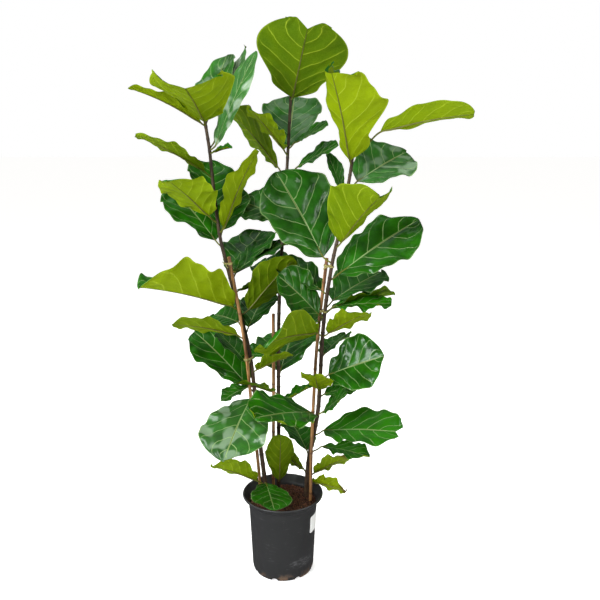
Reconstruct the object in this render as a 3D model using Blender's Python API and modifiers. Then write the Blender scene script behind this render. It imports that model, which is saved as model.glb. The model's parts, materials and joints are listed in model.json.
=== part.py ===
"""Fiddle leaf fig in a nursery pot: three leafy stems tied to bamboo canes.

Run with: blender --background --python part.py
Metres, +Z up. The origin is the centre of the pot's underside. -Y is the front of the plant and +X
its right. Angles are in degrees: an azimuth of 0 points along +X and 90 along +Y.
"""
import math

import bmesh
import bpy
from mathutils import Vector

# Pot: a moulded nursery pot with a flared rim, a collar below it and arched drain slots.
POT_HEIGHT = 0.276
RIM_RADIUS = 0.135
COLLAR_RADIUS = 0.1142
BODY_RADIUS = 0.1128
FOOT_RADIUS = 0.1040
FOOT_RING = 0.0900
CENTRE_PAD = 0.0300
FOOT_TOP = 0.0160
COLLAR_BOTTOM = 0.2215
FLOOR_HEIGHT = 0.005
WALL = 0.0024
POT_STEPS = 48
DRAIN_SLOTS = 8
DRAIN_SLOT_RADIUS = 0.011
DRAIN_SLOT_DEPTH = 0.030
FIRST_SLOT_AZIMUTH = -150

# Soil: the root ball, heaped a little in the middle.
SOIL_TOP = 0.252
SOIL_EDGE = 0.246
FIT_GAP = 0.0004

# Stems and canes: each route is a list of points, bottom to top, with straight runs between them.
STEM_RADIUS = {"left": (0.0078, 0.0048), "middle": (0.0072, 0.0046), "right": (0.0080, 0.0050)}
STEM_ROUTES = {
    "left": [
        (-0.052, 0.012, 0.120), (-0.057, 0.012, 0.235), (-0.062, 0.010, 0.320),
        (-0.075, 0.008, 0.450), (-0.087, 0.004, 0.600), (-0.106, 0.000, 0.775),
        (-0.127, 0.000, 0.875), (-0.150, 0.000, 0.965), (-0.173, 0.000, 1.063),
        (-0.188, 0.000, 1.130), (-0.200, 0.000, 1.230), (-0.209, 0.000, 1.331),
        (-0.215, 0.000, 1.406), (-0.226, -0.004, 1.492),
    ],
    "middle": [
        (-0.018, 0.058, 0.120), (-0.017, 0.060, 0.235), (-0.015, 0.062, 0.380),
        (-0.014, 0.070, 0.640), (-0.012, 0.080, 0.850), (0.000, 0.090, 1.100),
        (0.014, 0.098, 1.300), (0.022, 0.100, 1.433), (0.030, 0.100, 1.570),
    ],
    "right": [
        (0.070, 0.024, 0.120), (0.078, 0.022, 0.235), (0.088, 0.016, 0.391),
        (0.101, 0.011, 0.463), (0.117, -0.003, 0.569), (0.122, -0.008, 0.656),
        (0.129, -0.010, 0.808), (0.137, -0.010, 0.908), (0.152, -0.010, 1.021),
        (0.161, -0.010, 1.075), (0.175, -0.010, 1.140), (0.195, -0.012, 1.250),
        (0.209, -0.014, 1.332), (0.216, -0.020, 1.392),
    ],
}
CANE_RADIUS = 0.0054
CANE_ROUTES = {
    "left": [
        (-0.068, 0.016, 0.130), (-0.081, 0.013, 0.350), (-0.102, 0.001, 0.600),
        (-0.118, -0.016, 0.800), (-0.162, -0.017, 1.082),
    ],
    "middle": [
        (-0.036, 0.046, 0.130), (-0.033, 0.047, 0.350), (-0.030, 0.053, 0.640), (-0.029, 0.059, 0.880),
    ],
    "right": [
        (0.093, -0.008, 0.130), (0.094, -0.009, 0.350), (0.096, -0.008, 0.450),
        (0.101, -0.002, 0.570), (0.114, 0.003, 0.810), (0.142, 0.000, 1.075),
    ],
}

# Ties: bands looped round a stem and its cane, at these heights.
TIES = {"left_tie": ("left", 1.060), "right_tie": ("right", 1.050)}
TIE_HEIGHT = 0.008
TIE_THICKNESS = 0.0014
TIE_SLACK = 0.0010

# Label: a blank sticker wrapped on the pot's right-hand side.
LABEL_BOTTOM = 0.155
LABEL_HEIGHT = 0.060
LABEL_AZIMUTHS = (-35, 3)
LABEL_THICKNESS = 0.0008

# Leaves, bottom to top on each stem. Each row gives the height where the stalk leaves the stem, the
# azimuth, the rise of the blade at its base, its roll, how far it bends down by its tip, then the
# blade's length and width, how far its sides fold up, and the stalk's length.
LEAVES = {
    "left": [
        # height, azimuth, rise, roll, bend, length, width, fold, stalk
        (0.300, 210, 35, 40, 10, 0.19, 0.12, 20, 0.030),
        (0.305, 285, -8, -10, 10, 0.13, 0.14, 5, 0.015),
        (0.615, 252, -18, 0, 20, 0.25, 0.22, 5, 0.035),
        (0.630, 147, 40, -10, 15, 0.27, 0.20, 10, 0.030),
        (0.710, 131, 30, 15, 10, 0.17, 0.12, 10, 0.020),
        (0.810, 200, 22, 38, 15, 0.22, 0.11, 10, 0.030),
        (0.825, 74, 30, -10, 15, 0.18, 0.15, 10, 0.030),
        (0.845, 130, 5, -30, 20, 0.16, 0.16, 10, 0.030),
        (0.890, 12, 52, -60, 15, 0.22, 0.16, 10, 0.025),
        (0.910, 210, 25, 22, 15, 0.32, 0.28, 30, 0.020),
        (1.000, 68, 38, -10, 15, 0.22, 0.20, 10, 0.030),
        (1.140, 82, 55, 20, 15, 0.19, 0.15, 10, 0.030),
        (1.110, 143, 45, -10, 15, 0.25, 0.20, 10, 0.030),
        (1.155, 308, 62, 18, 15, 0.29, 0.12, 10, 0.030),
        (1.185, 225, 45, 15, 15, 0.19, 0.20, 10, 0.040),
        (1.325, 220, 33, 5, 15, 0.25, 0.11, 10, 0.030),
        (1.410, 62, 65, -40, 10, 0.33, 0.13, 0, 0.030),
        (1.478, 265, 28, -5, 15, 0.27, 0.26, 15, 0.020),
        (1.480, 80, 55, -30, 15, 0.26, 0.16, 10, 0.030),
    ],
    "middle": [
        (0.285, 280, 82, 0, 10, 0.19, 0.10, 10, 0.020),
        (0.650, 80, 25, -10, 15, 0.26, 0.24, 10, 0.030),
        (1.185, 168, 25, -40, 15, 0.14, 0.15, 10, 0.010),
        (1.315, 130, 42, 65, 15, 0.28, 0.17, 10, 0.050),
        (1.320, 325, 30, 35, 10, 0.16, 0.10, 10, 0.050),
        (1.385, 245, 35, -15, 10, 0.24, 0.10, 10, 0.030),
        (1.400, 85, 45, 0, 15, 0.26, 0.20, 10, 0.020),
        (1.405, 313, 25, 35, 10, 0.15, 0.09, 10, 0.030),
        (1.555, 297, 63, -25, 10, 0.25, 0.28, 10, 0.010),
    ],
    "right": [
        (0.300, 335, 5, -55, 15, 0.13, 0.10, 10, 0.010),
        (0.325, 345, 38, -40, 15, 0.15, 0.11, 10, 0.020),
        (0.330, 130, 10, 70, 10, 0.12, 0.09, 10, 0.020),
        (0.395, 110, 25, 20, 15, 0.15, 0.14, 10, 0.020),
        (0.415, 330, 8, 5, 15, 0.17, 0.10, 10, 0.050),
        (0.477, 333, 16, 15, 15, 0.27, 0.20, 10, 0.040),
        (0.550, 230, 20, -15, 15, 0.26, 0.22, 10, 0.035),
        (0.557, 310, 45, 40, 10, 0.13, 0.10, 10, 0.030),
        (0.640, 260, 47, -8, 5, 0.11, 0.11, 10, 0.015),
        (0.680, 332, 29, 58, 15, 0.20, 0.19, 10, 0.030),
        (0.825, 221, 12, 50, 25, 0.26, 0.20, 10, 0.020),
        (0.825, 322, 38, -25, 15, 0.18, 0.12, 10, 0.020),
        (0.885, 208, 50, -55, 15, 0.19, 0.18, 10, 0.020),
        (0.905, 350, 12, 12, 15, 0.18, 0.13, 10, 0.030),
        (0.918, 37, 25, 5, 15, 0.22, 0.20, 10, 0.030),
        (1.007, 9, 38, 35, 15, 0.31, 0.25, 10, 0.030),
        (1.060, 176, 65, -50, 15, 0.30, 0.28, 10, 0.030),
        (1.110, 300, 45, -12, 15, 0.26, 0.24, 38, 0.030),
        (1.287, 29, 30, 30, 15, 0.21, 0.21, 10, 0.040),
        (1.365, 250, 63, -10, 15, 0.29, 0.24, 30, 0.020),
        (1.390, 329, 16, -35, 15, 0.29, 0.11, 30, 0.110),
    ],
}
STALK_RADIUS = 0.0024
STALK_RISE = 40
STALK_LIFT = 30
STALK_GAP = 0.0005
MIDRIB_DEPTH = 0.0018
BLADE_HALF_THICKNESS = 0.0004
BLADE_STATIONS = [0.05, 0.14, 0.26, 0.40, 0.55, 0.70, 0.83, 0.93]
BLADE_STEPS = 40


def clear_scene():
    for old in list(bpy.data.objects):
        bpy.data.objects.remove(old, do_unlink=True)


def new_collection(name):
    collection = bpy.data.collections.new(name)
    bpy.context.scene.collection.children.link(collection)
    return collection


def new_material(name, colour, roughness):
    material = bpy.data.materials.new(name)
    material.use_nodes = True
    shader = material.node_tree.nodes["Principled BSDF"]
    shader.inputs["Base Color"].default_value = (*colour, 1.0)
    shader.inputs["Roughness"].default_value = roughness
    shader.inputs["Metallic"].default_value = 0.0
    return material


def new_object(name, data, collection, material=None):
    item = bpy.data.objects.new(name, data)
    collection.objects.link(item)
    if material:
        data.materials.append(material)
    return item


def shade_round(mesh, angle=40):
    mesh.shade_smooth()
    mesh.set_sharp_from_angle(angle=math.radians(angle))


def turned(name, profile, collection, material):
    """A profile of (radius, height) pairs, turned about the Z axis."""
    mesh = bpy.data.meshes.new(name)
    points = [(radius, 0.0, height) for radius, height in profile]
    edges = [(i, i + 1) for i in range(len(points) - 1)]
    mesh.from_pydata(points, edges, [])
    item = new_object(name, mesh, collection, material)
    screw = item.modifiers.new("Turn", "SCREW")
    screw.steps = POT_STEPS
    screw.render_steps = POT_STEPS
    screw.use_merge_vertices = True
    screw.merge_threshold = 0.00002
    screw.use_smooth_shade = True
    return item


def rod(name, route, radii, collection, material=None):
    """A round rod along straight runs, with flat ends, as a closed mesh."""
    curve = bpy.data.curves.new(name, "CURVE")
    curve.dimensions = "3D"
    curve.bevel_depth = 1.0
    curve.bevel_resolution = 2
    curve.use_fill_caps = True
    spline = curve.splines.new("POLY")
    spline.points.add(len(route) - 1)
    for point, place, radius in zip(spline.points, route, radii):
        point.co = (*place, 1.0)
        point.radius = radius
    drawn = bpy.data.objects.new(name + "_curve", curve)
    collection.objects.link(drawn)
    depsgraph = bpy.context.evaluated_depsgraph_get()
    mesh = bpy.data.meshes.new_from_object(drawn.evaluated_get(depsgraph))
    bpy.data.objects.remove(drawn, do_unlink=True)
    welded = bmesh.new()
    welded.from_mesh(mesh)
    bmesh.ops.remove_doubles(welded, verts=welded.verts, dist=0.00001)
    welded.to_mesh(mesh)
    welded.free()
    mesh.name = name
    mesh.materials.clear()
    shade_round(mesh)
    return new_object(name, mesh, collection, material)


def place_on(route, height):
    """The point where a route passes a height, and the way it points there."""
    for low, high in zip(route, route[1:]):
        if height <= high[2] or high is route[-1]:
            share = (height - low[2]) / (high[2] - low[2])
            low, high = Vector(low), Vector(high)
            return low.lerp(high, share), (high - low).normalized()


def stem_radius(stem, height):
    route = STEM_ROUTES[stem]
    share = (height - route[0][2]) / (route[-1][2] - route[0][2])
    thick, thin = STEM_RADIUS[stem]
    return thick + (thin - thick) * share


def cut(item, cutter):
    cutter.hide_render = True
    cutter.display_type = "WIRE"
    difference = item.modifiers.new("Cut " + cutter.name, "BOOLEAN")
    difference.operation = "DIFFERENCE"
    difference.solver = "EXACT"
    difference.object = cutter


def make_pot(parts, cutters):
    plastic = new_material("black_pot_plastic", (0.045, 0.045, 0.050), 0.45)
    top = POT_HEIGHT
    profile = [
        (RIM_RADIUS - 0.0045, top - 0.0006), (RIM_RADIUS - 0.0025, top), (RIM_RADIUS - 0.0006, top - 0.0014),
        (RIM_RADIUS, top - 0.0045), (RIM_RADIUS - 0.0012, top - 0.0080), (COLLAR_RADIUS + 0.0060, top - 0.0210),
        (COLLAR_RADIUS + 0.0010, top - 0.0270), (COLLAR_RADIUS, top - 0.0320), (COLLAR_RADIUS, top - 0.0520),
        (BODY_RADIUS, COLLAR_BOTTOM), (FOOT_RADIUS, FOOT_TOP), (FOOT_RADIUS - 0.0022, 0.0060),
        (FOOT_RADIUS - 0.0070, 0.0), (FOOT_RING, 0.0), (FOOT_RING - 0.0030, FLOOR_HEIGHT),
        (CENTRE_PAD + 0.0030, FLOOR_HEIGHT), (CENTRE_PAD, 0.0), (0.0, 0.0),
    ]
    pot = turned("pot", profile, parts, plastic)
    shell = pot.modifiers.new("Wall", "SOLIDIFY")
    shell.thickness = WALL
    shell.offset = -1.0
    shell.use_even_offset = True
    for slot in range(DRAIN_SLOTS):
        azimuth = math.radians(FIRST_SLOT_AZIMUTH + slot * 360 / DRAIN_SLOTS)
        bpy.ops.mesh.primitive_cylinder_add(
            vertices=16, radius=DRAIN_SLOT_RADIUS, depth=DRAIN_SLOT_DEPTH,
            rotation=(math.pi / 2, 0.0, azimuth + math.pi / 2),
            location=(FOOT_RADIUS * math.cos(azimuth), FOOT_RADIUS * math.sin(azimuth), -0.001),
        )
        cutter = bpy.context.object
        cutter.name = f"drain_cutter_{slot + 1}"
        for home in list(cutter.users_collection):
            home.objects.unlink(cutter)
        cutters.objects.link(cutter)
        cut(pot, cutter)
    return pot


def make_soil(parts, cutters):
    earth = new_material("dark_potting_soil", (0.060, 0.026, 0.016), 0.95)
    inner = WALL + FIT_GAP
    bottom = FLOOR_HEIGHT + inner
    profile = [
        (0.0, SOIL_TOP), (0.055, SOIL_TOP - 0.001), (0.095, SOIL_EDGE + 0.002),
        (BODY_RADIUS - inner, SOIL_EDGE), (BODY_RADIUS - inner, COLLAR_BOTTOM - 0.0005),
        (FOOT_RADIUS - inner, FOOT_TOP + 0.0005), (FOOT_RADIUS - 0.0055, bottom), (0.0, bottom),
    ]
    soil = turned("soil", profile, parts, earth)
    routes = [(f"{name}_stem", STEM_ROUTES[name], STEM_RADIUS[name]) for name in STEM_ROUTES]
    routes += [(f"{name}_cane", CANE_ROUTES[name], (CANE_RADIUS, CANE_RADIUS)) for name in CANE_ROUTES]
    for name, route, (thick, _) in routes:
        low, upward = place_on(route, route[0][2])
        sunk = low - upward * 0.001
        high, _ = place_on(route, 0.300)
        second = [Vector(p) for p in route if route[0][2] < p[2] < 0.300]
        path = [tuple(sunk)] + [tuple(p) for p in second] + [tuple(high)]
        hole = rod(f"{name}_hole", path, [thick + FIT_GAP] * len(path), cutters)
        cut(soil, hole)
    return soil


def make_stems(parts):
    bark = new_material("brown_stem_bark", (0.110, 0.055, 0.040), 0.75)
    for name, route in STEM_ROUTES.items():
        radii = [stem_radius(name, place[2]) for place in route]
        rod(f"{name}_stem", route, radii, parts, bark)


def make_canes(parts):
    bamboo = new_material("tan_bamboo", (0.560, 0.340, 0.160), 0.55)
    for name, route in CANE_ROUTES.items():
        rod(f"{name}_cane", route, [CANE_RADIUS] * len(route), parts, bamboo)


def make_ties(parts):
    band = new_material("olive_tie_tape", (0.330, 0.300, 0.090), 0.60)
    for name, (stem, height) in TIES.items():
        on_stem, up = place_on(STEM_ROUTES[stem], height)
        on_cane, cane_up = place_on(CANE_ROUTES[stem], height)
        up = (up + cane_up).normalized()
        across = on_cane - on_stem
        across -= up * across.dot(up)
        reach = across.length / 2
        along = across.normalized()
        outline = bpy.data.curves.new(name, "CURVE")
        outline.dimensions = "2D"
        outline.fill_mode = "BOTH"
        outline.extrude = TIE_HEIGHT / 2
        inner_radius = stem_radius(stem, height) + TIE_SLACK
        for radius in (inner_radius + TIE_THICKNESS, inner_radius):
            steps = range(9)
            ends = [(1, -90 + 22.5 * i) for i in steps] + [(-1, 90 + 22.5 * i) for i in steps]
            spline = outline.splines.new("POLY")
            spline.points.add(len(ends) - 1)
            for point, (end, angle) in zip(spline.points, ends):
                turn = math.radians(angle)
                point.co = (end * reach + radius * math.cos(turn), radius * math.sin(turn), 0.0, 1.0)
            spline.use_cyclic_u = True
        tie = new_object(name, outline, parts, band)
        basis = [along, up.cross(along), up, (on_stem + on_cane) / 2]
        for column, vector in enumerate(basis):
            for row in range(3):
                tie.matrix_world[row][column] = vector[row]


def make_label(parts):
    paper = new_material("blank_white_label", (0.850, 0.850, 0.840), 0.50)
    lean = math.atan2(BODY_RADIUS - FOOT_RADIUS, COLLAR_BOTTOM - FOOT_TOP)
    middle = LABEL_BOTTOM + LABEL_HEIGHT / 2
    wall_radius = FOOT_RADIUS + (middle - FOOT_TOP) * math.tan(lean)
    half = math.radians(LABEL_AZIMUTHS[1] - LABEL_AZIMUTHS[0]) / 2
    centre = math.radians(sum(LABEL_AZIMUTHS) / 2)
    outline = bpy.data.curves.new("label", "CURVE")
    outline.dimensions = "2D"
    outline.fill_mode = "BOTH"
    outline.extrude = LABEL_HEIGHT / 2
    inside = wall_radius + FIT_GAP
    steps = 9
    turns = [half * (2 * i / (steps - 1) - 1) for i in range(steps)]
    edge = [(inside + LABEL_THICKNESS, turn) for turn in turns] + [(inside, turn) for turn in reversed(turns)]
    spline = outline.splines.new("POLY")
    spline.points.add(len(edge) - 1)
    for point, (radius, turn) in zip(spline.points, edge):
        point.co = (radius * math.cos(turn) - inside, radius * math.sin(turn), 0.0, 1.0)
    spline.use_cyclic_u = True
    label = new_object("label", outline, parts, paper)
    label.location = (inside * math.cos(centre), inside * math.sin(centre), middle)
    label.rotation_euler = (0.0, lean, centre)
    return label


def direction(azimuth, rise):
    turn, lift = math.radians(azimuth), math.radians(rise)
    return Vector((math.cos(turn) * math.cos(lift), math.sin(turn) * math.cos(lift), math.sin(lift)))


def blade_outline(s):
    """Half width of a fiddle-shaped blade, from 0 at the stalk to 1 at its widest."""
    body = max(math.sin(math.pi * s ** 1.35), 0.0) ** 0.60
    lobes = 0.16 * math.exp(-(((s - 0.10) / 0.08) ** 2))
    return body + lobes


def blade_section(centre, side, top, half_width, fold, thickness, midrib):
    """Eight points round a blade or stalk: edge, top, edge, underside."""
    lift = half_width * math.sin(fold)
    reach = half_width * math.cos(fold)
    points = []
    for across, height in (
        (1.0, 0.0), (0.5, thickness), (0.0, thickness), (-0.5, thickness),
        (-1.0, 0.0), (-0.5, -thickness), (0.0, -midrib), (0.5, -thickness),
    ):
        rise = lift * abs(across) ** 1.5 + height
        points.append(centre + side * (reach * across) + top * rise)
    return points


def leaf_rings(stem, row):
    height, azimuth, rise, roll, bend, length, width, fold, stalk = row
    on_stem, stem_up = place_on(STEM_ROUTES[stem], height)
    outward = direction(azimuth, 0)
    outward = (outward - stem_up * outward.dot(stem_up)).normalized()
    start = on_stem + outward * (stem_radius(stem, height) + STALK_GAP)
    level = stem_up.cross(outward).normalized()
    ring = []
    for i in range(8):
        turn = math.radians(45 * i)
        ring.append(start + (level * math.cos(turn) + stem_up * math.sin(turn)) * STALK_RADIUS)
    rings = [ring]
    forward = direction(azimuth, rise)
    across = direction(azimuth + 90, 0)
    above = forward.cross(across)
    tilt = math.radians(roll)
    side = across * math.cos(tilt) + above * math.sin(tilt)
    top = above * math.cos(tilt) - across * math.sin(tilt)
    stalk_rise = min(STALK_RISE, rise + STALK_LIFT)
    base = start + direction(azimuth, stalk_rise) * stalk
    for share in (0.5, 1.0):
        centre = start.lerp(base, share)
        heading = direction(azimuth, stalk_rise).lerp(forward, share ** 2).normalized()
        stalk_side = level.lerp(side, share)
        stalk_side = (stalk_side - heading * stalk_side.dot(heading)).normalized()
        stalk_top = heading.cross(stalk_side)
        ring = []
        for i in range(8):
            turn = math.radians(45 * i)
            ring.append(centre + (stalk_side * math.cos(turn) + stalk_top * math.sin(turn)) * STALK_RADIUS)
        rings.append(ring)
    centre = base.copy()
    stations = list(BLADE_STATIONS)
    for step in range(1, BLADE_STEPS + 1):
        s = step / BLADE_STEPS
        droop = -math.radians(bend) * (s - 0.5 / BLADE_STEPS)
        heading = forward * math.cos(droop) + top * math.sin(droop)
        centre += heading * (length / BLADE_STEPS)
        normal = top * math.cos(droop) - forward * math.sin(droop)
        if stations and s >= stations[0] - 1e-6:
            stations.pop(0)
            half_width = max(width / 2 * blade_outline(s), STALK_RADIUS)
            midrib = MIDRIB_DEPTH * (1 - s) + BLADE_HALF_THICKNESS
            ring = blade_section(
                centre, side, normal, half_width, math.radians(fold), BLADE_HALF_THICKNESS, midrib)
            rings.append(ring)
    return rings, centre


def make_leaf(name, stem, row, parts, material):
    rings, tip = leaf_rings(stem, row)
    shape = bmesh.new()
    loops = [[shape.verts.new(point) for point in ring] for ring in rings]
    shape.faces.new(list(reversed(loops[0])))
    for near, far in zip(loops, loops[1:]):
        for i in range(8):
            j = (i + 1) % 8
            shape.faces.new((near[i], near[j], far[j], far[i]))
    end = shape.verts.new(tip)
    for i in range(8):
        shape.faces.new((loops[-1][i], loops[-1][(i + 1) % 8], end))
    bmesh.ops.recalc_face_normals(shape, faces=shape.faces)
    mesh = bpy.data.meshes.new(name)
    shape.to_mesh(mesh)
    shape.free()
    shade_round(mesh, 60)
    return new_object(name, mesh, parts, material)


def make_leaves(parts):
    blade = new_material("glossy_green_leaf", (0.030, 0.200, 0.015), 0.30)
    for stem, rows in LEAVES.items():
        for number, row in enumerate(rows, start=1):
            make_leaf(f"{stem}_leaf_{number:02d}", stem, row, parts, blade)


clear_scene()
parts_collection = new_collection("potted_fiddle_leaf_fig")
cutter_collection = new_collection("cutters")
make_pot(parts_collection, cutter_collection)
make_soil(parts_collection, cutter_collection)
make_stems(parts_collection)
make_canes(parts_collection)
make_ties(parts_collection)
make_label(parts_collection)
make_leaves(parts_collection)
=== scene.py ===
"""Fiddle leaf fig in a black nursery pot: three leafy stems tied to bamboo canes.

Metres, +Z up. The origin is the centre of the pot's underside, -Y is the front of the plant and +X
its right. Angles are in degrees: an azimuth of 0 points along +X and 90 along +Y.
"""
import json
import math

import bmesh
import bpy
import numpy as np
from mathutils import Matrix, Vector, noise

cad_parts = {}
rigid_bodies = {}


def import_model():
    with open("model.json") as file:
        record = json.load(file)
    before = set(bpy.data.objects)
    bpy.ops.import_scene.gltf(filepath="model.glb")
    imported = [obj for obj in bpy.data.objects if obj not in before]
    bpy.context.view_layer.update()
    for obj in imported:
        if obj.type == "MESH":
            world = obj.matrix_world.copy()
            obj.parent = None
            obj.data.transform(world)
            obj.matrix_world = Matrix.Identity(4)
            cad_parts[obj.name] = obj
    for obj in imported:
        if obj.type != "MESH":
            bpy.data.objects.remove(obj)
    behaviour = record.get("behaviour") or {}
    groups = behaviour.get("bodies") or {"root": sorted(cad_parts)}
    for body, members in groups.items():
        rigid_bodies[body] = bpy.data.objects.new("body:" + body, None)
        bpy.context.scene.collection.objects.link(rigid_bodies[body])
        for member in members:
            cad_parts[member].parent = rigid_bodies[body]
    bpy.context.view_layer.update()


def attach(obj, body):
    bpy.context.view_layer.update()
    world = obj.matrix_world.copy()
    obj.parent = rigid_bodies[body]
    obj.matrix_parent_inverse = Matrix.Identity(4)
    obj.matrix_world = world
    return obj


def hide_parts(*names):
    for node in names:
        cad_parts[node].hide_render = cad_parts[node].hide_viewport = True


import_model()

for stray in list(bpy.data.objects):
    if stray.type in {"CAMERA", "LIGHT"} or stray.name == "Cube":
        bpy.data.objects.remove(stray, do_unlink=True)


# ---------------------------------------------------------------------------------------------
# The nursery pot: one thin moulding of black polypropylene with a flared, rolled rim, a collar
# below it and arched drain slots round the foot. Handling has scuffed it and left it dusty, and the
# top edge of its rim is painted lighter, a painted highlight.

POT_HEIGHT = 0.276
RIM_RADIUS = 0.135
COLLAR_RADIUS = 0.1142
BODY_RADIUS = 0.1128
FOOT_RADIUS = 0.1040
POT_WALL = 0.0024
COLLAR_BOTTOM = 0.2215
FOOT_TOP = 0.0160
FLOOR_RISE = 0.005
DRAIN_SLOTS = 8
DRAIN_SLOT_RADIUS = 0.011
FIRST_SLOT_AZIMUTH = -150
POT_BLACK = (0.024, 0.024, 0.025)
POT_SCUFF = (0.090, 0.090, 0.094)
POT_DIRT = (0.170, 0.095, 0.050)


class Wire:
    """One value running between nodes. Sums and products of wires lay down the maths nodes."""

    def __init__(self, tree, socket):
        self.tree = tree
        self.socket = socket

    def maths(self, operation, *others):
        node = self.tree.nodes.new("ShaderNodeMath")
        node.operation = operation
        for slot, value in zip(node.inputs, (self, *others)):
            join(self.tree, slot, value)
        return Wire(self.tree, node.outputs[0])

    def __add__(self, other):
        return self.maths("ADD", other)

    def __sub__(self, other):
        return self.maths("SUBTRACT", other)

    def __rsub__(self, other):
        return self.maths("MULTIPLY", -1.0).maths("ADD", other)

    def __mul__(self, other):
        return self.maths("MULTIPLY", other)

    def __truediv__(self, other):
        return self.maths("DIVIDE", other)

    def __pow__(self, other):
        return self.maths("POWER", other)

    def __abs__(self):
        return self.maths("ABSOLUTE")

    __radd__ = __add__
    __rmul__ = __mul__


def join(tree, slot, value):
    """Feeds a node's input from a wire, a socket or another node's first output, or sets it."""
    if isinstance(value, Wire):
        value = value.socket
    elif isinstance(value, bpy.types.Node):
        value = value.outputs[0]
    if isinstance(value, bpy.types.NodeSocket):
        tree.links.new(value, slot)
    elif slot.type == "RGBA" and len(value) == 3:
        slot.default_value = (*value, 1.0)
    else:
        slot.default_value = value


def lay(tree, kind, feeds=None, **settings):
    """Adds a node, sets it, and feeds its inputs by name."""
    node = tree.nodes.new(kind)
    for name, value in settings.items():
        setattr(node, name, value)
    for name, value in (feeds or {}).items():
        join(tree, node.inputs[name], value)
    return node


def ramp(wire, low, high, bottom=0.0, top=1.0):
    """A smooth step from bottom to top as the wire goes from low to high."""
    feeds = {"Value": wire, "From Min": low, "From Max": high, "To Min": bottom, "To Max": top}
    node = lay(wire.tree, "ShaderNodeMapRange", feeds, interpolation_type="SMOOTHSTEP")
    return Wire(wire.tree, node.outputs["Result"])


def tint(tree, share, first, second):
    """The colour between two others."""
    node = lay(tree, "ShaderNodeMix", data_type="RGBA")
    for index, value in ((0, share), (6, first), (7, second)):
        join(tree, node.inputs[index], value)
    return node.outputs[2]


def speckle(tree, place, scale, detail=3.0, roughness=0.55):
    """Soft cloudy noise, from 0 to 1."""
    feeds = {"Vector": place, "Scale": scale, "Detail": detail, "Roughness": roughness}
    return Wire(tree, lay(tree, "ShaderNodeTexNoise", feeds).outputs["Fac"])


def new_group(name, family, inputs, outputs):
    """An empty node group and its input wires. A socket is named with its kind, or with its number."""
    tree = bpy.data.node_groups.new(name, family + "NodeTree")
    for way, sockets in (("INPUT", inputs), ("OUTPUT", outputs)):
        for label, value in sockets.items():
            kind = value if isinstance(value, str) else {int: "Int", float: "Float"}[type(value)]
            socket = tree.interface.new_socket(label, in_out=way, socket_type="NodeSocket" + kind)
            if value is not kind:
                socket.default_value = value
    entry = tree.nodes.new("NodeGroupInput")
    wires = {label: Wire(tree, entry.outputs[label]) for label in inputs}
    return tree, wires, tree.nodes.new("NodeGroupOutput")


def new_finish(name, roughness=0.5, coat=0.0, coat_roughness=0.1):
    """A material with one Principled shader, and the place on the piece that its pattern reads."""
    material = bpy.data.materials.new(name)
    material.use_nodes = True
    tree = material.node_tree
    shader = tree.nodes["Principled BSDF"]
    shader.inputs["Roughness"].default_value = roughness
    shader.inputs["Coat Weight"].default_value = coat
    shader.inputs["Coat Roughness"].default_value = coat_roughness
    place = tree.nodes.new("ShaderNodeTexCoord").outputs["Object"]
    return material, tree, shader, place


def dress(tree, shader, colour, roughness, height, distance):
    """Feeds a shader its colour, its roughness and the height of its grain, in metres."""
    join(tree, shader.inputs["Base Color"], colour)
    join(tree, shader.inputs["Roughness"], roughness)
    bump = lay(tree, "ShaderNodeBump", {"Height": height, "Distance": distance, "Strength": 1.0})
    tree.links.new(bump.outputs["Normal"], shader.inputs["Normal"])


def build_mottle():
    """Patches and grain, the unevenness that every natural or handled surface here shares."""
    inputs = {"Place": "Vector", "Patch Scale": 10.0, "Grain Scale": 200.0, "Patch Contrast": 0.15}
    outputs = dict.fromkeys(("Patches", "Grain", "Flecks"), "Float")
    tree, wires, leave = new_group("mottle", "Shader", inputs, outputs)
    cloud = speckle(tree, wires["Place"], wires["Patch Scale"])
    grain = speckle(tree, wires["Place"], wires["Grain Scale"], 4.0, 0.6)
    spread = wires["Patch Contrast"]
    join(tree, leave.inputs["Patches"], ramp(cloud, 0.5 - spread, 0.5 + spread))
    join(tree, leave.inputs["Grain"], grain)
    join(tree, leave.inputs["Flecks"], ramp(grain, 0.60, 0.72))
    return tree


MOTTLE = build_mottle()


def mottle(tree, place, patch_scale, grain_scale, contrast=0.15):
    node = lay(tree, "ShaderNodeGroup", node_tree=MOTTLE)
    for slot, value in zip(node.inputs, (place, patch_scale, grain_scale, contrast)):
        join(tree, slot, value)
    return tuple(Wire(tree, node.outputs[name]) for name in ("Patches", "Grain", "Flecks"))


def split(tree, vector):
    node = lay(tree, "ShaderNodeSeparateXYZ", {"Vector": vector})
    return tuple(Wire(tree, output) for output in node.outputs)


def stretch(tree, place, *scale):
    return lay(tree, "ShaderNodeMapping", {"Vector": place, "Scale": scale})


def vector(tree, x, y, z=0.0):
    return lay(tree, "ShaderNodeCombineXYZ", {"X": x, "Y": y, "Z": z})


def read_mark(tree, name):
    """A number kept on the mesh, point by point."""
    return Wire(tree, lay(tree, "ShaderNodeAttribute", attribute_name=name).outputs["Fac"])


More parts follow.
